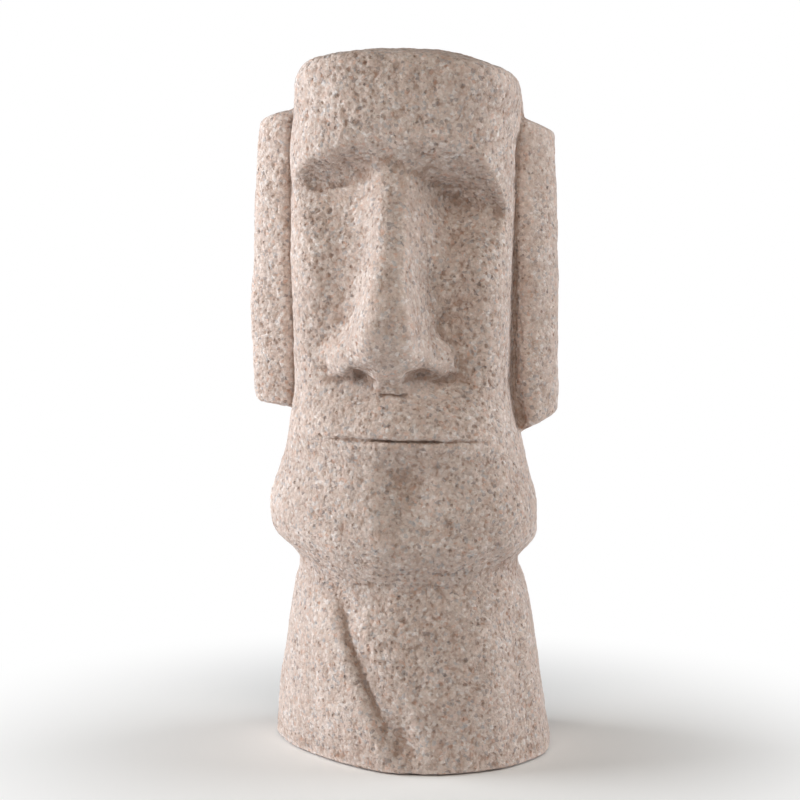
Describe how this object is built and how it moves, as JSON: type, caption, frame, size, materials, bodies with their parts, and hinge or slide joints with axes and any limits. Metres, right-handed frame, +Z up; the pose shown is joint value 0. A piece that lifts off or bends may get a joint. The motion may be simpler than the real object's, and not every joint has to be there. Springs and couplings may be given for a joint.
{
  "type": "moai stone head statue",
  "caption": "Small cast-stone moai: a tall head with long ears, heavy brow and square jaw on a short torso that is cut flat below.",
  "frame": {"origin": "on the flat underside, at the middle of the whole object's box seen from above", "axes": "+Z up to the crown, the face looks along -Y, +X towards the ear that hangs lower"},
  "size_m": [0.1244, 0.1122, 0.2784],
  "materials": {
    "sandstone": "matte pinkish-beige bonded sand with brown, grey and blue-grey grains and small pits"
  },
  "bodies": {
    "root": {"moai_statue": "sandstone"}
  },
  "joints": []
}
